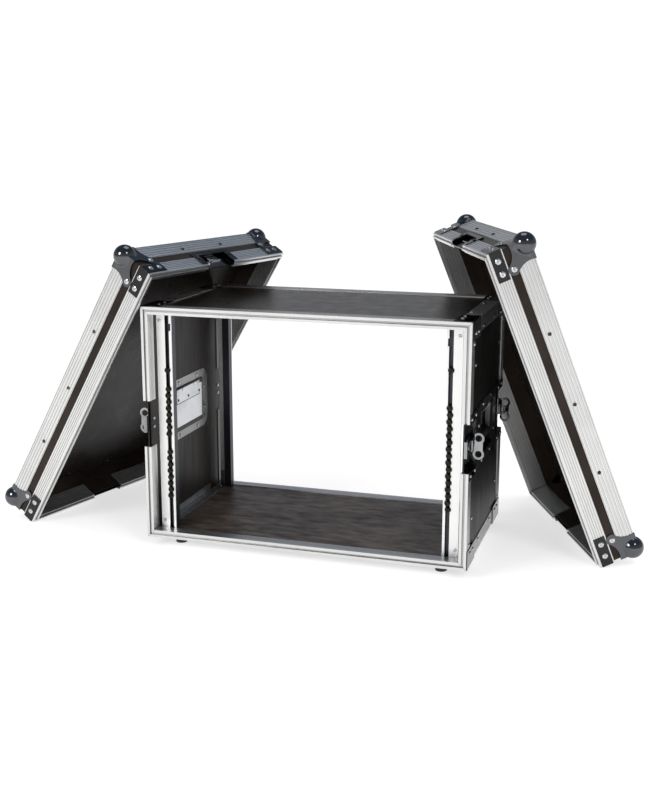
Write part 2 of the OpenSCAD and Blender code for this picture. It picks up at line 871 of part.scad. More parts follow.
module wing(side, end) {
    color(steel) latch_place(side, end) translate([rotor_back, 0, hinge_up - dish_deep])
        difference() {
            union() {
                rotate([90, 0, 0])
                    cylinder(h = 2 * barrel_half, r = barrel_r, center = true);
                rotate([90, 0, 90]) translate([0, 0, -wing_plate / 2])
                    linear_extrude(wing_plate) wing_outline();
            }
            rotate([90, 0, 0])
                cylinder(h = 3 * barrel_half, r = hinge_pin_r + run_gap / 2, center = true);
        }
}

module front_left_hook() {
    hook(-1, -1);
}

module front_left_rotor() {
    rotor(-1, -1);
}

module front_left_wing() {
    wing(-1, -1);
}

module front_right_hook() {
    hook(1, -1);
}

module front_right_rotor() {
    rotor(1, -1);
}

module front_right_wing() {
    wing(1, -1);
}

module rear_left_hook() {
    hook(-1, 1);
}

module rear_left_rotor() {
    rotor(-1, 1);
}

module rear_left_wing() {
    wing(-1, 1);
}

module rear_right_hook() {
    hook(1, 1);
}

module rear_right_rotor() {
    rotor(1, 1);
}

module rear_right_wing() {
    wing(1, 1);
}

// ---------- feet ----------

module feet() {
    color(rubber) for (sx = ends, sy = ends) translate([sx * foot_x, sy * foot_y, 0])
        difference() {
            cylinder(h = foot_h + board_face, r1 = foot_r - foot_taper, r2 = foot_r);
            translate([0, 0, -past])
                cylinder(h = foot_bore_h + past, r = foot_head_r + foot_bore_gap);
            cylinder(h = foot_h + board_face + past, r = foot_shank_r + run_gap);
        }
}

module foot_screws() {
    color(zinc) for (sx = ends, sy = ends) translate([sx * foot_x, sy * foot_y, 0]) {
        translate([0, 0, foot_bore_h - foot_head_t]) cylinder(h = foot_head_t, r = foot_head_r);
        translate([0, 0, foot_bore_h - eps])
            cylinder(h = foot_h + board_face + board_t - foot_bore_h, r = foot_shank_r);
    }
}

// ---------- lids ----------
// A lid's own frame: x up its long side, y along its short side, z from its open edge
// to its outer face.

// Local frames of the four corners, each with x, y into the lid and z to the open edge
module at_corners() {
    for (cx = [0, 1], cy = [0, 1]) translate([cx * body_w, cy * body_h, 0])
        mirror([cx, 0, 0]) mirror([0, cy, 0]) children();
}

// The two middles of the short sides: x in from the open edge, z out of the side
module catch_place(end) {
    translate([end * body_w, body_h / 2, 0]) mirror([end, 0, 0]) rotate([0, -90, 0]) children();
}

module ball_space(grow) {
    at_corners() translate([ball_in, ball_in, lid_d - ball_in]) {
        sphere(ball_r + grow);
        span([-ball_r, -ball_r, 0], [grow, grow, ball_r]);
    }
}

module lid_panel() {
    color(laminate) difference() {
        span([board_face, board_face, lid_cavity],
            [body_w - board_face, body_h - board_face, lid_cavity + lid_panel_t]);
        ball_space(seat_gap);
    }
}

module lid_boards() {
    half = dish_box / 2 + steel_t + seat_gap;
    pocket = dish_deep + steel_t + seat_gap;
    color(laminate) difference() {
        union() {
            for (y = [board_face, body_h - inner_face])
                translate([board_face, y, lip_t])
                    cube([body_w - 2 * board_face, board_t, lid_cavity - lip_t]);
            for (x = [board_face, body_w - inner_face])
                translate([x, inner_face + joint_gap, lip_t])
                    cube([board_t, body_h - 2 * (inner_face + joint_gap), lid_cavity - lip_t]);
        }
        ball_space(seat_gap);
        for (end = [0, 1]) catch_place(end)
            span([-past, -half, -pocket], [catch_box_long + steel_t + seat_gap, half, past]);
    }
}

module lid_angles() {
    color(bright) difference() {
        translate([0, 0, lid_d]) mirror([0, 0, 1])
            four_bars(body_w, body_h, lid_angle) angle_section(lid_angle);
        ball_space(seat_gap);
    }
}

// Closing frame with the tongue, its short sides cut through at the catch dishes
module lid_frame() {
    half = dish_box / 2 + steel_t + seat_gap;
    color(bright) difference() {
        four_bars(body_w, body_h, lip_w) closing_section(lid_inner_wing, true);
        for (end = [0, 1]) catch_place(end)
            span([-tongue_h - past, -half, -2 * lip_w], [lid_d, half, 2 * lip_w]);
    }
}

petal_side_in = 3;
pole_cut = 0.02;
waist_r = 30;
waist_near = 8;
waist_off = 26;

// One petal of a ball corner, in its face's own corner, wrapping both of its edges
module petal() {
    tip = ball_rivet_in;
    side = tip - petal_side_in;
    difference() {
        union() {
            polygon([
                [-steel_t, -steel_t], [side, -steel_t], [tip + petal_r, side],
                [side, tip + petal_r], [-steel_t, side]
            ]);
            translate([tip, tip]) circle(petal_r);
        }
        translate([tip + waist_off, waist_near]) circle(waist_r);
        translate([waist_near, tip + waist_off]) circle(waist_r);
    }
}

// The ball, with a hair planed off its two poles so that its surface isn't pinched there
module ball() {
    intersection() {
        sphere(ball_r);
        cube([2 * ball_r, 2 * ball_r, 2 * (ball_r - pole_cut)], center = true);
    }
}

// Pressed ball corner: a ball and three petals on the outer faces of the lid
module ball_corners() {
    deep = lid_cavity - seat_gap;
    color(steel) at_corners() difference() {
        union() {
            translate([ball_in, ball_in, lid_d - ball_in]) ball();
            translate([0, 0, lid_d]) linear_extrude(steel_t) petal();
            translate([0, -steel_t, lid_d]) rotate([-90, 0, 0]) linear_extrude(steel_t) petal();
            translate([-steel_t, 0, lid_d]) rotate([0, 90, 0]) linear_extrude(steel_t) petal();
        }
        span([inner_face - seat_gap, inner_face - seat_gap, -past], [far, far, deep]);
    }
}

plate_start = lip_t - steel_t;

// Plates that wrap the lid's four corners next to the open edge
module corner_plates() {
    color(black_steel) at_corners() difference() {
        span([-steel_t, -steel_t, plate_start], [plate_long, plate_long, plate_wide]);
        span([0, 0, 0], [far, far, far]);
    }
}

module catch_dishes() {
    color(steel) for (end = [0, 1]) catch_place(end) dish(catch_long, catch_box_long);
}

keeper_back = 12;
keeper_up = 4.5;
keeper_gap = 1;

// Keeper: a plate on the dish's floor with a turned-up lip that the hook pulls on
module keepers() {
    color(steel) for (end = [0, 1]) catch_place(end) translate([0, 0, -dish_deep]) {
        span([keeper_back, -hook_half, 0], [catch_box_long - keeper_gap, hook_half, hook_t]);
        span([keeper_back, -hook_half, 0], [keeper_back + hook_t, hook_half, keeper_up]);
    }
}

long_rivet = 118.5;
short_rivet = 53.5;
angle_rivet_in = 19;
plate_rivets = [16, 36.5];
plate_rivet_up = 13.5;
tail_share = 0.8;
catch_rivet_back = 3;

// A rivet on each leg of an edge angle, and its tail inside the lid
module angle_rivets() {
    translate([0, angle_rivet_in, lid_d]) rivet(small_rivet_r);
    translate([0, 0, lid_d - angle_rivet_in]) rotate([90, 0, 0]) rivet(small_rivet_r);
    translate([0, angle_rivet_in, lid_cavity]) rotate([180, 0, 0]) rivet(small_rivet_r * tail_share);
}

module corner_rivets() {
    tip = ball_rivet_in;
    translate([tip, tip, lid_d + steel_t]) rivet(big_rivet_r);
    translate([tip, -steel_t, lid_d - tip]) rotate([90, 0, 0]) rivet(big_rivet_r);
    translate([-steel_t, tip, lid_d - tip]) rotate([0, -90, 0]) rivet(big_rivet_r);
    for (a = plate_rivets) {
        translate([a, -steel_t, plate_rivet_up]) rotate([90, 0, 0]) rivet(big_rivet_r);
        translate([-steel_t, a, plate_rivet_up]) rotate([0, -90, 0]) rivet(big_rivet_r);
    }
}

module lid_rivets() {
    color(steel) {
        at_corners() corner_rivets();
        for (cy = [0, 1]) translate([body_w / 2, cy * body_h, 0]) mirror([0, cy, 0])
            for (i = [-1 : 1]) translate([i * long_rivet, 0, 0]) angle_rivets();
        for (cx = [0, 1]) translate([cx * body_w, body_h / 2, 0]) mirror([cx, 0, 0])
            rotate([0, 0, -90]) for (s = ends) translate([s * short_rivet, 0, 0]) angle_rivets();
        for (end = [0, 1]) catch_place(end) for (s = ends)
            translate([catch_long / 2 + catch_rivet_back, s * dish_rivet_y, steel_t])
                rivet(small_rivet_r);
    }
}

// ---------- drawing ----------

top_panel();
bottom_panel();
side_panel(-1);  // left_panel
side_panel(1);  // right_panel
top_edge_angles();
bottom_edge_angles();
front_frame();
rear_frame();
corner_braces();
body_rivets();
rail(-1, -1);  // front_left_rail
rail(1, -1);  // front_right_rail
rail(-1, 1);  // rear_left_rail
rail(1, 1);  // rear_right_rail
rail_brackets();
floor_angles();
left_handle_dish();
right_handle_dish();
handle_backing_frames();
left_handle_grip();
right_handle_grip();
handle_pins();
latch_dishes();
screws_left_bottom();
screws_left_middle();
screws_left_top();
screws_right_bottom();
screws_right_top();
feet();
foot_screws();
front_left_hook();
front_left_rotor();
front_left_wing();
front_right_hook();
front_right_rotor();
front_right_wing();
rear_left_hook();
rear_left_rotor();
rear_left_wing();
rear_right_hook();
rear_right_rotor();
rear_right_wing();
left_lid_place() lid_panel();  // left_lid_panel
left_lid_place() lid_boards();  // left_lid_boards
left_lid_place() lid_angles();  // left_lid_angles
left_lid_place() lid_frame();  // left_lid_frame
left_lid_place() ball_corners();  // left_lid_ball_corners
left_lid_place() corner_plates();  // left_lid_corner_plates
left_lid_place() catch_dishes();  // left_lid_catch_dishes
left_lid_place() keepers();  // left_lid_keepers
left_lid_place() lid_rivets();  // left_lid_rivets
right_lid_place() lid_panel();  // right_lid_panel
right_lid_place() lid_boards();  // right_lid_boards
right_lid_place() lid_angles();  // right_lid_angles
right_lid_place() lid_frame();  // right_lid_frame
right_lid_place() ball_corners();  // right_lid_ball_corners
right_lid_place() corner_plates();  // right_lid_corner_plates
right_lid_place() catch_dishes();  // right_lid_catch_dishes
right_lid_place() keepers();  // right_lid_keepers
right_lid_place() lid_rivets();  // right_lid_rivets
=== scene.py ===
import json
import math

import bmesh
import bpy
import numpy as np
from mathutils import Matrix, Vector


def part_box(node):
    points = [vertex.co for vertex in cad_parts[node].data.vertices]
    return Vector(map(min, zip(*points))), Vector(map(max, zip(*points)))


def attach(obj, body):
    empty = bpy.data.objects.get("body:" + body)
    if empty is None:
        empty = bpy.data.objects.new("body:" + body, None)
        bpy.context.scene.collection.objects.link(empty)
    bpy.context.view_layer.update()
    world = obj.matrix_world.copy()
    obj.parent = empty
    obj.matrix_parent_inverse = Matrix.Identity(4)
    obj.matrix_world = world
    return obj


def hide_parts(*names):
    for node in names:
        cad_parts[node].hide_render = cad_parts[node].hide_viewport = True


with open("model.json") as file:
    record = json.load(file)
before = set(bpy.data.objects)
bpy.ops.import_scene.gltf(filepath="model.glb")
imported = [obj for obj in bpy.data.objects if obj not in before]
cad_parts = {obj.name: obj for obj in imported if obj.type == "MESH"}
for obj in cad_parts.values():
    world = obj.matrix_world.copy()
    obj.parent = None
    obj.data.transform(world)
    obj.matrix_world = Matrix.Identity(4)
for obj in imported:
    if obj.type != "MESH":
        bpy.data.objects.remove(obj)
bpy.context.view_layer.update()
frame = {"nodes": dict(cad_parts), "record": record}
nodes = frame["nodes"]

MM = 0.001
SIDES = ("left", "right")
ENDS = ("front", "rear")
LATCHES = [f"{end}_{side}" for end in ENDS for side in SIDES]

# ---------- camera ----------

CAMERA_SPOT = (0.57274, -1.8485, 0.67505)
CAMERA_AZIMUTH = math.radians(17.39)
CAMERA_ELEVATION = math.radians(12.7)
CAMERA_ROLL = math.radians(0.04)
CAMERA_LENS = 53.64
SENSOR_WIDTH = 36
VIEW_END = 60


def make_camera():
    """The camera, looking the way its azimuth and elevation say."""
    data = bpy.data.cameras.new("camera")
    data.lens = CAMERA_LENS
    data.sensor_width = SENSOR_WIDTH
    data.clip_end = VIEW_END
    camera = bpy.data.objects.new("camera", data)
    bpy.context.scene.collection.objects.link(camera)
    level = math.cos(CAMERA_ELEVATION)
    forward = Vector((-math.sin(CAMERA_AZIMUTH) * level, math.cos(CAMERA_AZIMUTH) * level,
                      -math.sin(CAMERA_ELEVATION)))
    turn = forward.to_track_quat("-Z", "Y").to_matrix().to_4x4()
    camera.matrix_world = Matrix.Translation(CAMERA_SPOT) @ turn @ Matrix.Rotation(
        CAMERA_ROLL, 4, "Z")
    bpy.context.scene.camera = camera


# ---------- frames of the body and of the lids ----------

TONGUE = 3 * MM         # how far a lid's tongue stands past its open edge


def vertices(*names):
    """All corners of some CAD nodes, as an array in the row frame."""
    return np.concatenate([
        np.array([v.co for v in nodes[n].data.vertices], float) for n in names])


def lid_matrix(side):
    """From a lid's own frame to the row frame: x up its long side, y along its short side,
    z from its open edge to its outer face, with the origin at its lowest outer corner."""
    panel = vertices(f"{side}_lid_panel")
    rim = vertices(f"{side}_lid_frame")
    outer = vertices(f"{side}_lid_angles")
    middle = panel.mean(0)
    _, axes = np.linalg.eigh(np.cov((panel - middle).T))
    z, _, x = axes.T
    x = x if x[2] > 0 else -x
    z = z if z @ (middle - rim.mean(0)) > 0 else -z
    y = np.cross(z, x)
    low = [min((outer @ x).min(), (rim @ x).min()), min((outer @ y).min(), (rim @ y).min()),
           (rim @ z).min() + TONGUE]
    turn = np.array([x, y, z]).T
    matrix = Matrix(turn.tolist()).to_4x4()
    matrix.translation = Vector(turn @ np.array(low))
    return matrix


LID = {side: lid_matrix(side) for side in SIDES}
BODY_LOW, BODY_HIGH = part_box("front_frame")
BODY_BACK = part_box("rear_frame")[1].y
BODY_W = BODY_HIGH.x - BODY_LOW.x
BODY_H = BODY_HIGH.z - BODY_LOW.z
BODY_D = BODY_BACK - BODY_LOW.y
BODY_MID_Y = BODY_LOW.y + BODY_D / 2
BODY_MID_Z = BODY_LOW.z + BODY_H / 2
DISH_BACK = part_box("right_handle_dish")[0].x
RAIL_FACE = BODY_MID_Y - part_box("front_left_rail")[0].y
RAIL_T = 2 * MM         # a rack rail's sheet
LIP_W = 12 * MM         # the closing frames' front lip
LID_D = max((LID["left"].inverted() @ Vector(c)).z for c in vertices("left_lid_angles"))


# ---------- materials ----------

NOISE_ENDS = (0.35, 0.65)       # where most of a noise lies
TONE_ENDS = (0.3, 0.7)          # where a finish's two tones are reached
CREASE_ENDS = (0.5, 0.97)       # ambient occlusion at which the painted crease shade is full, and at which it is gone
STREAK_SHARE = 0.62             # of streaks against clouds in a worn print
STREAK_ENDS = (0.38, 0.62)
PORES = 1400                    # grains to the metre, and their depth
PORE_DEPTH = 0.000014
DRAWN = 2600                    # lines to the metre across an extrusion
ALONG = 9                       # and along it
LINE_DEPTH = 0.000012
CORNER_REACH = 60 * MM          # a lid's rivets nearer a corner than this are bright
BACK_HALF_LONG = 53.5 * MM      # the bare back of a handle's dish
BACK_HALF_HIGH = 30 * MM
BACK_SKIN = 0.5 * MM            # how far past its back a dish is still bare
BOARD_SKIN = 6 * MM             # of a side board that takes the outer finish
# painted shade in creases and grooves, from ambient occlusion
CREASE_SAMPLES = 6
CREASE_DARK = 0.2               # painted shade: what a crease keeps of a metal's colour
GROOVE_REACH = 3.2 * MM         # the same painted shade for the grooves of an extrusion
GROOVE_DARK = 0.38
RIVET_REACH = 1.5 * MM
WING_START = LIP_W - 1.4 * MM   # where the rear frame's inner wings begin
WING_SHADE = 0.85
WOOD_LONG = 7                   # streaks to the metre along a side board, and across
WOOD_WIDE = 90
CLOUDS = 14                     # clouds to the metre


def add(tree, kind, sockets=None, **settings):
    """A new shader node with its settings, its constants and its incoming links."""
    node = tree.nodes.new(kind)
    for name, value in settings.items():
        setattr(node, name, value)
    for name, value in (sockets or {}).items():
        if isinstance(value, bpy.types.NodeSocket):
            tree.links.new(value, node.inputs[name])
        else:
            node.inputs[name].default_value = value
    return node


def material(name, **constants):
    """A new material, its tree and its Principled shader with constants set on its sockets."""
    made = bpy.data.materials.new(name)
    made.use_nodes = True
    shader = made.node_tree.nodes["Principled BSDF"]
    for key, value in constants.items():
        socket = shader.inputs[key.replace("_", " ")]
        socket.default_value = (*value, 1) if isinstance(value, tuple) else value
    return made, made.node_tree, shader


def place(tree, matrix=None):
    """Coordinates in metres, in the row frame or in a lid's own frame."""
    coordinates = add(tree, "ShaderNodeTexCoord").outputs["Object"]
    if matrix is None:
        return coordinates
    back = matrix.inverted()
    return add(tree, "ShaderNodeMapping", {
        "Vector": coordinates, "Location": back.to_translation(),
        "Rotation": back.to_euler("XYZ")}).outputs["Vector"]


def axes(tree, where):
    """The X, Y and Z of a position."""
    return add(tree, "ShaderNodeSeparateXYZ", {"Vector": where}).outputs


def stretched(tree, where, scale):
    """A position scaled by a different factor along each axis."""
    return add(tree, "ShaderNodeVectorMath",
               {0: where, 1: scale}, operation="MULTIPLY").outputs["Vector"]


def noise(tree, where, scale, detail, roughness=0.55):
    """Smooth noise of a scale in grains to the metre."""
    return add(tree, "ShaderNodeTexNoise", {
        "Vector": where, "Scale": scale, "Detail": detail,
        "Roughness": roughness}).outputs["Fac"]


def math_node(tree, operation, a, b):
    """One arithmetic step on two values."""
    return add(tree, "ShaderNodeMath", {0: a, 1: b}, operation=operation).outputs["Value"]


def ramp(tree, factor, stops):
    """A colour ramp; stops is a list of (position, colour)."""
    node = add(tree, "ShaderNodeValToRGB", {"Fac": factor})
    band = node.color_ramp
    while len(band.elements) < len(stops):
        band.elements.new(0.5)
    for element, (position, colour) in zip(band.elements, stops):
        element.position = position
        element.color = (*colour, 1)
    return node.outputs["Color"]


def tones(tree, factor, low, high):
    """A colour that drifts between two by a noise."""
    return ramp(tree, factor, [(TONE_ENDS[0], low), (TONE_ENDS[1], high)])


def spread(tree, factor, low, high):
    """A noise's usual values stretched to the range low to high."""
    return add(tree, "ShaderNodeMapRange", {
        "Value": factor, "From Min": NOISE_ENDS[0], "From Max": NOISE_ENDS[1],
        "To Min": low, "To Max": high}).outputs["Result"]


def bump(tree, shader, height, depth, strength):
    """Relief of a depth in metres, from a height of 0 to 1."""
    made = add(tree, "ShaderNodeBump", {
        "Height": height, "Distance": depth, "Strength": strength})
    tree.links.new(made.outputs["Normal"], shader.inputs["Normal"])


def distance(tree, value, middle):
    """How far a coordinate lies from a middle."""
    return math_node(tree, "ABSOLUTE", math_node(tree, "SUBTRACT", value, middle), 0)


def times(tree, colour, factor):
    """A colour darkened by a 0 to 1 factor."""
    return add(tree, "ShaderNodeVectorMath", {
        0: colour, 1: add(tree, "ShaderNodeCombineXYZ", {
            "X": factor, "Y": factor, "Z": factor}).outputs["Vector"]},
        operation="MULTIPLY").outputs["Vector"]


def crease_shade(tree, reach, dark):
    """Painted shade: 1 on open faces, falling to dark in the grooves narrower than reach, by
    ambient occlusion.
    """
    shut = add(tree, "ShaderNodeAmbientOcclusion", {"Distance": reach},
               samples=CREASE_SAMPLES, only_local=True).outputs["AO"]
    return add(tree, "ShaderNodeMapRange", {
        "Value": shut, "From Min": CREASE_ENDS[0], "From Max": CREASE_ENDS[1],
        "To Min": dark, "To Max": 1.0}).outputs["Result"]


def past(tree, value, limit, soft=0.00005):
    """0 below a limit and 1 above it."""
    return add(tree, "ShaderNodeMapRange", {
        "Value": value, "From Min": limit - soft, "From Max": limit + soft}).outputs["Result"]


def pick(tree, factor, low, high):
    """One of two colours, by a 0 to 1 factor."""
    mix = add(tree, "ShaderNodeMix", {0: factor}, data_type="RGBA")
    for socket, value in zip(mix.inputs[6:8], (low, high)):
        if isinstance(value, tuple):
            socket.default_value = (*value, 1)
        else:
            tree.links.new(value, socket)
    return mix.outputs[2]


LAMINATE_DARK = (0.0075, 0.0056, 0.0048)
LAMINATE_LIGHT = (0.0145, 0.0112, 0.0096)


def laminate(name, matrix=None, dark=LAMINATE_DARK, light=LAMINATE_LIGHT, shine=0.5):
    """Dark brown-black laminate: fine orange-peel texture, faint cloudy tone."""
    made, tree, shader = material(name, IOR=1.5, Specular_IOR_Level=shine)
    where = place(tree, matrix)
    clouds = noise(tree, where, CLOUDS, 5)
    tree.links.new(tones(tree, clouds, dark, light), shader.inputs["Base Color"])
    tree.links.new(spread(tree, noise(tree, where, 40, 3), 0.27, 0.34),
                   shader.inputs["Roughness"])
    bump(tree, shader, noise(tree, where, PORES, 2), PORE_DEPTH, 0.15)
    return made


def worn(tree, streaks, clouds, dark, light):
    """A print worn in streaks and clouds."""
    mixed = math_node(tree, "ADD", math_node(tree, "MULTIPLY", streaks, STREAK_SHARE),
                      math_node(tree, "MULTIPLY", clouds, 1 - STREAK_SHARE))
    return ramp(tree, mixed, [(STREAK_ENDS[0], dark), (STREAK_ENDS[1], light)])


def streaked_laminate(name, scale, dark, light):
    """Laminate with a worn, streaked print along the direction of the smallest scale."""
    made, tree, shader = material(name, IOR=1.45)
    where = place(tree)
    streaks = noise(tree, stretched(tree, where, scale), 1, 6, 0.65)
    clouds = noise(tree, where, 12, 4, 0.6)
    tree.links.new(worn(tree, streaks, clouds, dark, light), shader.inputs["Base Color"])
    tree.links.new(spread(tree, streaks, 0.5, 0.36), shader.inputs["Roughness"])
    bump(tree, shader, streaks, 0.00006, 0.4)
    return made


def outwards(tree):
    """Distance of a point from the body's middle plane, across the case."""
    return math_node(tree, "ABSOLUTE", axes(tree, place(tree))["X"], 0)


def wall_finish(name):
    """Side board: plain laminate outside, darker than the top's laminate as painted shade; a
    worn, streaked face inside.
    """
    made, tree, shader = material(name, IOR=1.36, Specular_IOR_Level=0.25)
    where = place(tree)
    outside = past(tree, outwards(tree), BODY_W / 2 - BOARD_SKIN)
    streaks = noise(tree, stretched(tree, where, (WOOD_WIDE, WOOD_WIDE, WOOD_LONG)), 1, 6, 0.65)
    clouds = noise(tree, where, CLOUDS, 5)
    inner = worn(tree, streaks, clouds, (0.0085, 0.0062, 0.0053), (0.0185, 0.0136, 0.0115))
    # the outer laminate, darker than the top's: painted shade on the case's side
    outer = tones(tree, clouds, (0.0026, 0.0022, 0.0021), (0.0055, 0.0046, 0.0042))
    tree.links.new(pick(tree, outside, inner, outer), shader.inputs["Base Color"])
    tree.links.new(spread(tree, streaks, 0.46, 0.36), shader.inputs["Roughness"])
    bump(tree, shader, noise(tree, where, PORES, 2), PORE_DEPTH, 0.4)
    return made


def dish_finish(name):
    """Handle dish: black outside and round the middle of its back, bare zinc in that middle,
    with painted shade in its creases.
    """
    made, tree, shader = material(name, Metallic=1.0)
    where = place(tree)
    patches = noise(tree, where, 40, 4)
    parts = axes(tree, where)
    outside = past(tree, outwards(tree), DISH_BACK + BACK_SKIN)
    for axis, middle, half in (("Y", BODY_MID_Y, BACK_HALF_LONG),
                               ("Z", BODY_MID_Z, BACK_HALF_HIGH)):
        outside = math_node(tree, "MAXIMUM", outside,
                            past(tree, distance(tree, parts[axis], middle), half))
    bare = tones(tree, patches, (0.66, 0.675, 0.70), (0.76, 0.775, 0.80))
    colour = pick(tree, outside, bare, (0.035, 0.035, 0.037))
    # painted shade in the dish's creases
    tree.links.new(times(tree, colour, crease_shade(tree, 0.002, 0.3)), shader.inputs["Base Color"])
    tree.links.new(spread(tree, patches, 0.34, 0.44), shader.inputs["Roughness"])
    bump(tree, shader, noise(tree, where, 1800, 2), 0.00001, 0.4)
    return made


def rail_material(name):
    """Rack rail: bright on its outer face; inside the channel and behind, a dark painted shade.
    """
    made, tree, shader = material(name, Metallic=1.0)
    where = place(tree)
    away = distance(tree, axes(tree, where)["Y"], BODY_MID_Y)
    face = past(tree, away, RAIL_FACE - RAIL_T - 0.1 * MM, 0.1 * MM)
    lines = noise(tree, stretched(tree, where, (DRAWN, DRAWN, ALONG)), 1, 2)
    bright = tones(tree, lines, (0.84, 0.84, 0.825), (0.89, 0.89, 0.88))
    # painted shade: dark everywhere behind the outer face
    tree.links.new(pick(tree, face, (0.058, 0.059, 0.070), bright),
                   shader.inputs["Base Color"])
    tree.links.new(spread(tree, lines, 0.36, 0.46), shader.inputs["Roughness"])
    bump(tree, shader, lines, LINE_DEPTH, 0.5)
    return made


def edge_distance(tree, axis, middle, half):
    """How far a point lies inside the nearer of two opposite edges."""
    return math_node(tree, "SUBTRACT", half, distance(tree, axis, middle))


def profile(name, grain, matrix=None, edges=None):
    """Satin anodised aluminium with drawn lines along the extrusion. grain is the axis of
    the lines. With edges, (axis, middle, half) for two axes, they follow a mitred frame."""
    made, tree, shader = material(name, Metallic=1.0)
    where = place(tree, matrix)
    scales = {a: [ALONG if a == b else DRAWN for b in "XYZ"] for a in "XYZ"}
    # painted shade in the extrusion's grooves
    shade = crease_shade(tree, GROOVE_REACH, GROOVE_DARK)
    if edges:
        parts = axes(tree, where)
        (a, a_middle, a_half), (b, b_middle, b_half) = edges
        a_in = edge_distance(tree, parts[a], a_middle, a_half)
        b_in = edge_distance(tree, parts[b], b_middle, b_half)
        upright = math_node(tree, "LESS_THAN", a_in, b_in)
        if matrix is None:      # the rear frame's inner wings lie in the dark
            # painted shade: the rear frame's inner wings are darkened by WING_SHADE
            wing = math_node(tree, "MULTIPLY", past(tree, a_in, WING_START),
                             past(tree, b_in, LIP_W + MM))
            wing = math_node(tree, "MULTIPLY", wing, past(tree, parts["Y"], BODY_MID_Y))
            shade = math_node(tree, "MULTIPLY", shade,
                              math_node(tree, "SUBTRACT", 1.0,
                                        math_node(tree, "MULTIPLY", wing, WING_SHADE)))
        lines = add(tree, "ShaderNodeMix", {
            "Factor": upright,
            "A": noise(tree, stretched(tree, where, scales[a]), 1, 2),
            "B": noise(tree, stretched(tree, where, scales[b]), 1, 2)}).outputs["Result"]
    else:
        lines = noise(tree, stretched(tree, where, scales[grain]), 1, 2)
    colour = tones(tree, noise(tree, where, 9, 3), (0.66, 0.66, 0.655), (0.74, 0.74, 0.73))
    tree.links.new(times(tree, colour, shade), shader.inputs["Base Color"])
    tree.links.new(spread(tree, lines, 0.30, 0.40), shader.inputs["Roughness"])
    bump(tree, shader, lines, LINE_DEPTH, 0.5)
    return made


def metal(name, colour, roughness, blotch, grit=0.00001, grain=1800, reach=0.002):
    """Plated steel: a slightly uneven shine, fine grit and painted shade in its creases."""
    made, tree, shader = material(name, Metallic=1.0)
    where = place(tree)
    patches = noise(tree, where, 55, 4)
    tone = tones(tree, patches, tuple(c * (1 - blotch) for c in colour), colour)
    tree.links.new(times(tree, tone, crease_shade(tree, reach, CREASE_DARK)),
                   shader.inputs["Base Color"])
    tree.links.new(spread(tree, patches, roughness * 0.8, roughness * 1.25),
                   shader.inputs["Roughness"])
    bump(tree, shader, noise(tree, where, grain, 2), grit, 0.4)
    return made


def rivet_metal(name, matrix):
    """A lid's rivets: bright at the corners, dull and dark along the angles."""
    made, tree, shader = material(name, Metallic=1.0)
    where = place(tree, matrix)
    parts = axes(tree, where)
    inner = [past(tree, edge_distance(tree, parts[axis], size / 2, size / 2), CORNER_REACH)
             for axis, size in (("X", BODY_W), ("Y", BODY_H))]
    tone = noise(tree, where, 90, 3)
    bright = tones(tree, tone, (0.55, 0.55, 0.55), (0.64, 0.64, 0.64))
    dull = tones(tree, tone, (0.045, 0.045, 0.048), (0.10, 0.10, 0.10))
    colour = pick(tree, math_node(tree, "MAXIMUM", *inner), bright, dull)
    tree.links.new(times(tree, colour, crease_shade(tree, RIVET_REACH, CREASE_DARK)),
                   shader.inputs["Base Color"])
    tree.links.new(spread(tree, tone, 0.11, 0.17), shader.inputs["Roughness"])
    return made


def rubber(name):
    """Moulded black rubber with a fine grain."""
    made, tree, shader = material(name, IOR=1.5)
    where = place(tree)
    tone = noise(tree, where, 70, 3)
    tree.links.new(tones(tree, tone, (0.009, 0.009, 0.009375), (0.012, 0.012, 0.0125)),
                   shader.inputs["Base Color"])
    tree.links.new(spread(tree, tone, 0.425, 0.575), shader.inputs["Roughness"])
    bump(tree, shader, noise(tree, where, 2200, 2), 0.00003, 0.6)
    return made


def black_screw(name):
    """Black-oxidised, oiled screws."""
    made, tree, shader = material(name, IOR=1.5, Metallic=0.9)
    tone = noise(tree, place(tree), 240, 3)
    tree.links.new(tones(tree, tone, (0.011, 0.0105, 0.009), (0.038, 0.034, 0.027)),
                   shader.inputs["Base Color"])
    tree.links.new(spread(tree, tone, 0.12, 0.2), shader.inputs["Roughness"])
    return made


def paint_node(name, made):
    """Give a CAD node its finish."""
    data = nodes[name].data
    data.materials.clear()
    data.materials.append(made)


# ---------- finishes ----------

frame_edges = (("X", 0, BODY_W / 2), ("Z", BODY_MID_Z, BODY_H / 2))
lid_edges = (("X", BODY_W / 2, BODY_W / 2), ("Y", BODY_H / 2, BODY_H / 2))

# metal(): name, colour, roughness, unevenness, then depth and grain of the relief
chrome = metal("black_chrome", (0.115, 0.117, 0.124), 0.045, 0.1, 0.000004)
plated = metal("black_zinc", (0.040, 0.040, 0.042), 0.13, 0.15)
nickel = metal("nickel", (0.62, 0.62, 0.62), 0.13, 0.12)
bright_chrome = metal("bright_chrome", (0.34, 0.345, 0.35), 0.05, 0.4, 0.0009, 110, 0.004)
zinc = metal("zinc", (0.30, 0.30, 0.30), 0.33, 0.18)
angle_zinc = metal("angle_zinc", (0.42, 0.43, 0.44), 0.33, 0.18)
dish_zinc = metal("dish_zinc", (0.72, 0.735, 0.76), 0.38, 0.12)
rail_finish = rail_material("rail_satin")
screw_black = black_screw("screw_black")
soft_rubber = rubber("rubber")
body_laminate = laminate("laminate")
floor_laminate = streaked_laminate(
    "floor_laminate", (26, WOOD_WIDE, WOOD_WIDE), (0.013, 0.0090, 0.0073), (0.095, 0.073, 0.060))

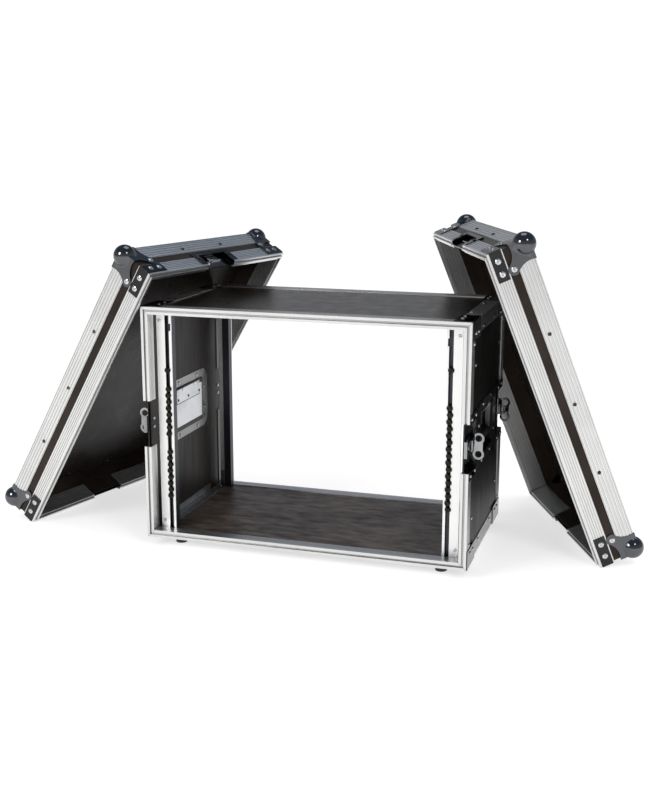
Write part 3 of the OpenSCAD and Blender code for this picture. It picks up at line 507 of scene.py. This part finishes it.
FINISHES = {
    "top_panel": body_laminate,
    "bottom_panel": floor_laminate,
    "left_panel": wall_finish("side_board"),
    "front_frame": profile("body_profile", "X", edges=frame_edges),
    "top_edge_angles": profile("edge_profile", "Y"),
    "corner_braces": plated,
    "body_rivets": nickel,
    "handle_pins": nickel,
    "latch_dishes": plated,
    "rail_brackets": zinc,
    "floor_angles": angle_zinc,
    "left_handle_dish": dish_finish("handle_dish"),
    "handle_backing_frames": zinc,
    "foot_screws": zinc,
    "left_handle_grip": soft_rubber,
    "right_handle_grip": soft_rubber,
    "feet": soft_rubber,
}
FINISHES["rear_frame"] = FINISHES["front_frame"]
FINISHES["right_panel"] = FINISHES["left_panel"]
FINISHES["right_handle_dish"] = FINISHES["left_handle_dish"]
FINISHES["bottom_edge_angles"] = FINISHES["top_edge_angles"]
for latch in LATCHES:
    FINISHES[f"{latch}_rail"] = rail_finish
    for part in ("hook", "rotor", "wing"):
        FINISHES[f"{latch}_{part}"] = bright_chrome
for side in SIDES:
    lid_profile = profile(f"{side}_lid_profile", "X", LID[side], lid_edges)
    lid_laminate = laminate(f"{side}_lid_laminate", LID[side], shine=0.2)
    FINISHES.update({
        f"{side}_lid_panel": lid_laminate,
        f"{side}_lid_boards": laminate(f"{side}_lid_edge_laminate", LID[side],
                                       (0.015, 0.0105, 0.0085), (0.028, 0.0205, 0.0170), 0.12),
        f"{side}_lid_angles": lid_profile,
        f"{side}_lid_frame": lid_profile,
        f"{side}_lid_ball_corners": chrome,
        f"{side}_lid_corner_plates": plated,
        f"{side}_lid_catch_dishes": plated,
        f"{side}_lid_keepers": nickel,
        f"{side}_lid_rivets": rivet_metal(f"{side}_lid_rivet", LID[side]),
    })
for name in nodes:
    paint_node(name, FINISHES.get(name, screw_black))


# ---------- pieces with worked edges ----------

BODY_OF = {n: body for body, names in frame["record"]["behaviour"]["bodies"].items()
           for n in names}


def link(name, mesh, made, body):
    """A new object for a mesh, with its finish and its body."""
    piece = bpy.data.objects.new(name, mesh)
    bpy.context.scene.collection.objects.link(piece)
    mesh.materials.clear()
    mesh.materials.append(made)
    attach(piece, body)
    return piece


def roll_edges(piece, width):
    """Round a piece's sharp edges and shade the rest smooth."""
    if width:
        edges = piece.modifiers.new("edges", "BEVEL")
        edges.width = width
        edges.segments = 2
        edges.limit_method = "ANGLE"
        edges.angle_limit = SHARP
        edges.harden_normals = True
    piece.data.shade_smooth()
    piece.data.set_sharp_from_angle(angle=SHARP)


def soften(name, width):
    """The node's own shape with its sharp edges rolled over, in place of the node."""
    mesh = nodes[name].data.copy()
    form = bmesh.new()
    form.from_mesh(mesh)
    bmesh.ops.remove_doubles(form, verts=form.verts, dist=WELD)
    bmesh.ops.dissolve_limit(form, angle_limit=FLAT, verts=form.verts, edges=form.edges)
    form.to_mesh(mesh)
    form.free()
    mesh.name = name + "_shape"
    piece = link(name + "_shape", mesh, FINISHES[name], BODY_OF[name])
    roll_edges(piece, width)
    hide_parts(name)


WELD = 0.01 * MM
FLAT = math.radians(0.5)
SHARP = math.radians(32)
SOFT_NODES = {      # how far each node's edges are rolled over, in millimetres
    "corner_braces": 0.35, "latch_dishes": 0.3, "left_handle_dish": 0.4,
    "right_handle_dish": 0.4, "handle_backing_frames": 0.35, "feet": 0.8,
    "floor_angles": 0.3, "rail_brackets": 0.25,
}
for side in SIDES:
    SOFT_NODES.update({
        f"{side}_lid_ball_corners": 0.35, f"{side}_lid_corner_plates": 0.35,
        f"{side}_lid_catch_dishes": 0.3, f"{side}_lid_keepers": 0.3,
    })
for latch in LATCHES:
    SOFT_NODES.update({f"{latch}_hook": 0.35, f"{latch}_wing": 0.9, f"{latch}_rotor": 0.3})
for name, width in SOFT_NODES.items():
    soften(name, width * MM)


# ---------- added pieces ----------

def arc(radius, angles, x=0.0, y=0.0):
    """Points at some angles, in degrees, on a circle round (x, y)."""
    turns = [math.radians(a) for a in angles]
    return [(x + radius * math.cos(a), y + radius * math.sin(a)) for a in turns]


def band(form, low, high):
    """Join two closed rims of the same length with faces."""
    for i in range(len(low)):
        j = (i + 1) % len(low)
        form.faces.new((low[i], low[j], high[j], high[i]))


def lathe(form, outline, matrix, segments):
    """Turn a list of (height, radius) round the z axis of a matrix, closed at both ends."""
    turns = [360 * i / segments for i in range(segments)]
    rings = [[form.verts.new(matrix @ Vector((x, y, height))) for x, y in arc(radius, turns)]
             for height, radius in outline]
    for low, high in zip(rings, rings[1:]):
        band(form, low, high)
    form.faces.new(list(reversed(rings[0])))
    form.faces.new(rings[-1])


def prism(form, outline, thick, matrix):
    """A flat plate from an outline in x and y, standing from z = 0 to its thickness."""
    low = [form.verts.new(matrix @ Vector((x, y, 0))) for x, y in outline]
    high = [form.verts.new(matrix @ Vector((x, y, thick))) for x, y in outline]
    form.faces.new(list(reversed(low)))
    form.faces.new(high)
    band(form, low, high)


def finish_form(form, name, made, body, bevel=0.0):
    """Close a piece's mesh, smooth it and hand it over."""
    bmesh.ops.recalc_face_normals(form, faces=form.faces)
    mesh = bpy.data.meshes.new(name)
    form.to_mesh(mesh)
    form.free()
    piece = link(name, mesh, made, body)
    roll_edges(piece, bevel)
    return piece


def wire(name, points, radius, made, body):
    """A round wire through some points."""
    curve = bpy.data.curves.new(name, "CURVE")
    curve.dimensions = "3D"
    curve.bevel_depth = radius
    curve.bevel_resolution = 3
    curve.use_fill_caps = True
    path = curve.splines.new("POLY")
    path.points.add(len(points) - 1)
    for point, spot in zip(path.points, points):
        point.co = (*spot, 1)
    piece = bpy.data.objects.new(name, curve)
    bpy.context.scene.collection.objects.link(piece)
    curve.materials.append(made)
    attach(piece, body)


def handle_frame(side):
    """A handle's own frame: x along the case, y up, z out of its side."""
    s = 1 if side == "right" else -1
    turn = Matrix(((0, 0, s), (s, 0, 0), (0, 1, 0))).to_4x4()
    return Matrix.Translation((s * BODY_W / 2, BODY_MID_Y, BODY_MID_Z)) @ turn


# A handle's parts, in its own frame
PIN_UP = 28 * MM
PIN_IN = 6.1 * MM
PIN_HOLE = 2.6 * MM
EYE_R = 5 * MM
BAR_R = 3.4 * MM
REACH = 42 * MM             # from the pin to the middle of the bar
ARM_X = 44 * MM
ARM_T = 5 * MM
GRIP_R = 5.4 * MM
GRIP_RIBS = 14
GRIP_PLAIN = 4 * MM         # of smooth sleeve at each end
RIB_DEEP = 0.55 * MM
SPRING_R = 3.2 * MM
SPRING_WIRE = 0.45 * MM
SPRING_TURNS = 4
SPRING_STEPS = 20           # points to a turn
SPRING_FROM = 36.5 * MM
SPRING_TO = 40.8 * MM
PLATE_LOW = 11.5 * MM
PLATE_HIGH = 35.5 * MM
PLATE_NEAR = -53 * MM
PLATE_FAR = 42 * MM
PLATE_T = 0.9 * MM
PLATE_CORNER = 4 * MM
SLITS = (-30.5 * MM, 18.2 * MM, 36 * MM)
SLIT_W = 2 * MM
SLIT_DEEP = 5 * MM
RIVETS = (-48 * MM, -6 * MM, 40 * MM)
RIVET_UP = 17.5 * MM
RIVET = [(-0.2 * MM, 2.3 * MM), (0.3 * MM, 2.3 * MM), (0.9 * MM, 1.7 * MM),
         (1.1 * MM, 0.9 * MM)]
# a black wire under a spring plate's lower edge: a painted shadow line
SHADOW_LINE_R = 0.7 * MM
SHADOW_LINE_DROP = 0.4 * MM
SHADOW_LINE_OUT = 0.5 * MM
GRIP_CHAMFER = 0.8 * MM


def spring_plate(side):
    """The plate on the back of a handle's dish that covers its springs: slits at the top,
    a black wire under its lower edge as a painted shadow line, and three dark rivets."""
    back = handle_frame(side) @ Matrix.Translation(
        (0, 0, -(BODY_W / 2 - DISH_BACK))) @ Matrix.Rotation(math.pi, 4, "Y")
    edge = [(PLATE_NEAR, PLATE_LOW)] + arc(PLATE_CORNER, range(-90, 1, 18),
                                           PLATE_FAR - PLATE_CORNER, PLATE_LOW + PLATE_CORNER)
    outline = edge + [(PLATE_FAR, PLATE_HIGH)]
    for x in reversed(SLITS):
        near, far, deep = x - SLIT_W / 2, x + SLIT_W / 2, PLATE_HIGH - SLIT_DEEP
        outline += [(far, PLATE_HIGH), (far, deep), (near, deep), (near, PLATE_HIGH)]
    outline.append((PLATE_NEAR, PLATE_HIGH))
    form = bmesh.new()
    prism(form, outline, PLATE_T, back)
    finish_form(form, f"{side}_handle_spring_plate", dish_zinc, "case", 0.25 * MM)
    form = bmesh.new()
    for x in RIVETS:
        lathe(form, RIVET, back @ Matrix.Translation((x, RIVET_UP, PLATE_T)), 24)
    finish_form(form, f"{side}_handle_spring_rivets", screw_black, "case")
    # painted shadow: a black wire along the plate's lower edge
    shadow_line = [back @ Vector((x, y - SHADOW_LINE_DROP, SHADOW_LINE_OUT)) for x, y in edge]
    wire(f"{side}_handle_plate_hem", shadow_line, SHADOW_LINE_R, screw_black, "case")


def handle_springs(side):
    """Torsion springs wound round a handle's pin, one at each arm."""
    pin = handle_frame(side) @ Matrix.Translation((0, PIN_UP, -PIN_IN))
    count = SPRING_TURNS * SPRING_STEPS
    for end, way in (("front", -1), ("rear", 1)):
        points = []
        for i in range(count + 1):
            a = 2 * math.pi * i / SPRING_STEPS
            x = way * (SPRING_FROM + (SPRING_TO - SPRING_FROM) * i / count)
            points.append(pin @ Vector((x, SPRING_R * math.cos(a), SPRING_R * math.sin(a))))
        wire(f"{side}_handle_spring_{end}", points, SPRING_WIRE, nickel, "case")


def handle_bail(side):
    """The lifting handle: two steel arms with eyes on the pin, and a ribbed rubber sleeve
    on the bar between them."""
    hinge = handle_frame(side) @ Matrix.Translation((0, PIN_UP, -PIN_IN))
    along = Matrix.Rotation(math.pi / 2, 4, "Y")
    form = bmesh.new()
    for end in (-1, 1):
        outline = arc(EYE_R, range(-30, 211, 15)) + arc(BAR_R, range(180, 361, 15), 0, -REACH)
        eye = arc(PIN_HOLE, range(0, 360, 15))
        place_arm = hinge @ Matrix.Translation((end * ARM_X - ARM_T / 2, 0, 0)) @ Matrix(
            ((0, 0, 1), (0, 1, 0), (-1, 0, 0))).to_4x4()
        pierced_prism(form, outline, eye, ARM_T, place_arm)
    finish_form(form, f"{side}_handle_arms", zinc, f"{side}_handle", 0.5 * MM)
    bar = hinge @ Matrix.Translation((0, -REACH, 0)) @ along
    half = ARM_X - ARM_T / 2 - 0.1 * MM
    outline = [(-half, GRIP_R - MM), (-half + GRIP_CHAMFER, GRIP_R)]
    pitch = 2 * (half - GRIP_PLAIN) / GRIP_RIBS
    for i in range(GRIP_RIBS):
        start = -half + GRIP_PLAIN + i * pitch
        outline += [(start, GRIP_R), (start + 0.15 * pitch, GRIP_R - RIB_DEEP),
                    (start + 0.35 * pitch, GRIP_R - RIB_DEEP), (start + 0.5 * pitch, GRIP_R)]
    outline += [(half - GRIP_CHAMFER, GRIP_R), (half, GRIP_R - MM)]
    form = bmesh.new()
    lathe(form, outline, bar, 36)
    sleeve = finish_form(form, f"{side}_handle_sleeve", soft_rubber, f"{side}_handle")
    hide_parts(f"{side}_handle_grip")


def pierced_prism(form, outline, hole, thick, matrix):
    """A flat plate with a hole, as two rims joined by triangulated faces."""
    rims = []
    for height in (0, thick):
        edges = []
        for loop in (outline, hole):
            ring = [form.verts.new(matrix @ Vector((x, y, height))) for x, y in loop]
            edges += [form.edges.new((ring[i], ring[(i + 1) % len(ring)]))
                      for i in range(len(ring))]
            rims.append(ring)
        bmesh.ops.triangle_fill(form, edges=edges, use_beauty=True)
    band(form, rims[0], rims[2])
    band(form, rims[1], rims[3])


BALL_IN = 7.5 * MM          # from a lid's corner in to the middle of its ball
PLATE_OUT = 8.7 * MM        # from that middle out to the corner plates' faces
FILLET = 3 * MM
COLLAR = ([(8.2 * MM, 13.5 * MM), (8.2 * MM, 17.6 * MM)]
          + [(11.7 * MM - x, 17.44 * MM - y) for x, y in arc(FILLET, (0, 14, 28, 42, 56))]
          + [(10.4 * MM, 13.5 * MM)])


def ball_collars(side):
    """Rounded roots where the balls of a lid's corners run into their three plates."""
    form = bmesh.new()
    span = (BODY_W, BODY_H)
    for ends in ((0, 0), (0, 1), (1, 0), (1, 1)):
        out = Vector((2 * ends[0] - 1, 2 * ends[1] - 1, 1))
        ball = Vector((*(span[i] * ends[i] - out[i] * BALL_IN for i in range(2)),
                       LID_D - BALL_IN))
        for axis in range(3):
            ring = bmesh.new()
            up = Vector([out[i] if i == axis else 0 for i in range(3)])
            turn = up.to_track_quat("Z", "Y").to_matrix().to_4x4()
            lathe(ring, COLLAR, turn, 48)
            for other in range(3):
                if other != axis:
                    normal = Vector([out[i] if i == other else 0 for i in range(3)])
                    cut = bmesh.ops.bisect_plane(
                        ring, geom=ring.verts[:] + ring.edges[:] + ring.faces[:],
                        plane_co=normal * PLATE_OUT, plane_no=normal, clear_outer=True)
                    bmesh.ops.holes_fill(ring, edges=[
                        e for e in cut["geom_cut"] if isinstance(e, bmesh.types.BMEdge)])
            bmesh.ops.transform(ring, matrix=LID[side] @ Matrix.Translation(ball),
                                verts=ring.verts)
            mesh = bpy.data.meshes.new("ring")
            ring.to_mesh(mesh)
            ring.free()
            form.from_mesh(mesh)
            bpy.data.meshes.remove(mesh)
    finish_form(form, f"{side}_lid_ball_collars", chrome, f"{side}_lid")


for side in SIDES:
    ball_collars(side)
for side in SIDES:
    handle_bail(side)
    spring_plate(side)
    handle_springs(side)


# ---------- stage and light ----------

BACKGROUND = 1.02
FLOOR_WHITE = 0.50
FLOOR_GLOW = 0.64
FLOOR_DRIFT = 0.01      # how much its tone varies
FLOOR_R = 40
ROOM_LIGHT = 0.80
SIDE_SHINE = (0.42, 0.42, 0.43)
LOW_SKY_SHINE = (0.36, 0.37, 0.39)
HIGH_SKY_SHINE = (0.155, 0.20, 0.275)
LIGHT_TARGET = (0, 0, 0.25)
LIGHTS = (      # name, place, size in metres, watts, and whether shiny faces mirror it
    ("key", (-1.6, -2.4, 1.7), 1.0, 36, True),
    ("fill", (2.3, -2.2, 1.3), 0.9, 24, False),
    ("fill_glint", (1.9, -1.8, 2.4), 0.6, 12, True),
    ("top", (0, 0.6, 3.0), 1.4, 12, True),
)


def make_floor():
    """A wide, plain, pale floor that glows a little, so shadows stay faint."""
    mesh = bpy.data.meshes.new("floor")
    form = bmesh.new()
    bmesh.ops.create_circle(form, cap_ends=True, segments=96, radius=FLOOR_R)
    form.to_mesh(mesh)
    form.free()
    floor = bpy.data.objects.new("floor", mesh)
    bpy.context.scene.collection.objects.link(floor)
    made, tree, shader = material(
        "floor", Roughness=1.0, Specular_IOR_Level=0.0, Emission_Color=(1.0, 1.0, 1.0),
        Emission_Strength=FLOOR_GLOW)
    tone = noise(tree, place(tree), 3, 2)
    tree.links.new(tones(tree, tone, (FLOOR_WHITE - FLOOR_DRIFT,) * 3, (FLOOR_WHITE,) * 3),
                   shader.inputs["Base Color"])
    mesh.materials.append(made)


def make_light(name, spot, size, power, seen):
    """A soft square lamp that faces the object."""
    data = bpy.data.lights.new(name, "AREA")
    data.shape = "RECTANGLE"
    data.size = data.size_y = size
    data.energy = power
    light = bpy.data.objects.new(name, data)
    light.location = spot
    way = Vector(LIGHT_TARGET) - Vector(spot)
    light.rotation_euler = way.to_track_quat("-Z", "Y").to_euler()
    light.visible_glossy = seen
    bpy.context.scene.collection.objects.link(light)


def make_world():
    """White behind the object and white light on it; shiny faces mirror a room that is
    pale at the sides and dim and bluish overhead."""
    world = bpy.data.worlds.new("world")
    bpy.context.scene.world = world
    world.use_nodes = True
    tree = world.node_tree
    lit = tree.nodes["Background"]
    lit.inputs["Color"].default_value = (1, 1, 1, 1)
    lit.inputs["Strength"].default_value = ROOM_LIGHT
    towards = add(tree, "ShaderNodeTexCoord").outputs["Generated"]
    height = add(tree, "ShaderNodeSeparateXYZ", {"Vector": towards}).outputs["Z"]
    shine = add(tree, "ShaderNodeBackground", {"Color": ramp(tree, height, [
        (0.0, SIDE_SHINE), (0.3, LOW_SKY_SHINE), (0.6, HIGH_SKY_SHINE)])})
    paper = add(tree, "ShaderNodeBackground", {"Color": (1, 1, 1, 1), "Strength": BACKGROUND})
    rays = add(tree, "ShaderNodeLightPath").outputs
    room = add(tree, "ShaderNodeMixShader", {
        "Fac": rays["Is Glossy Ray"], 1: lit.outputs["Background"],
        2: shine.outputs["Background"]})
    seen = add(tree, "ShaderNodeMixShader", {
        "Fac": rays["Is Camera Ray"], 1: room.outputs["Shader"],
        2: paper.outputs["Background"]})
    tree.links.new(seen.outputs["Shader"], tree.nodes["World Output"].inputs["Surface"])


make_camera()
make_floor()
make_world()
for lamp in LIGHTS:
    make_light(*lamp)

bpy.context.scene.view_settings.view_transform = "Standard"
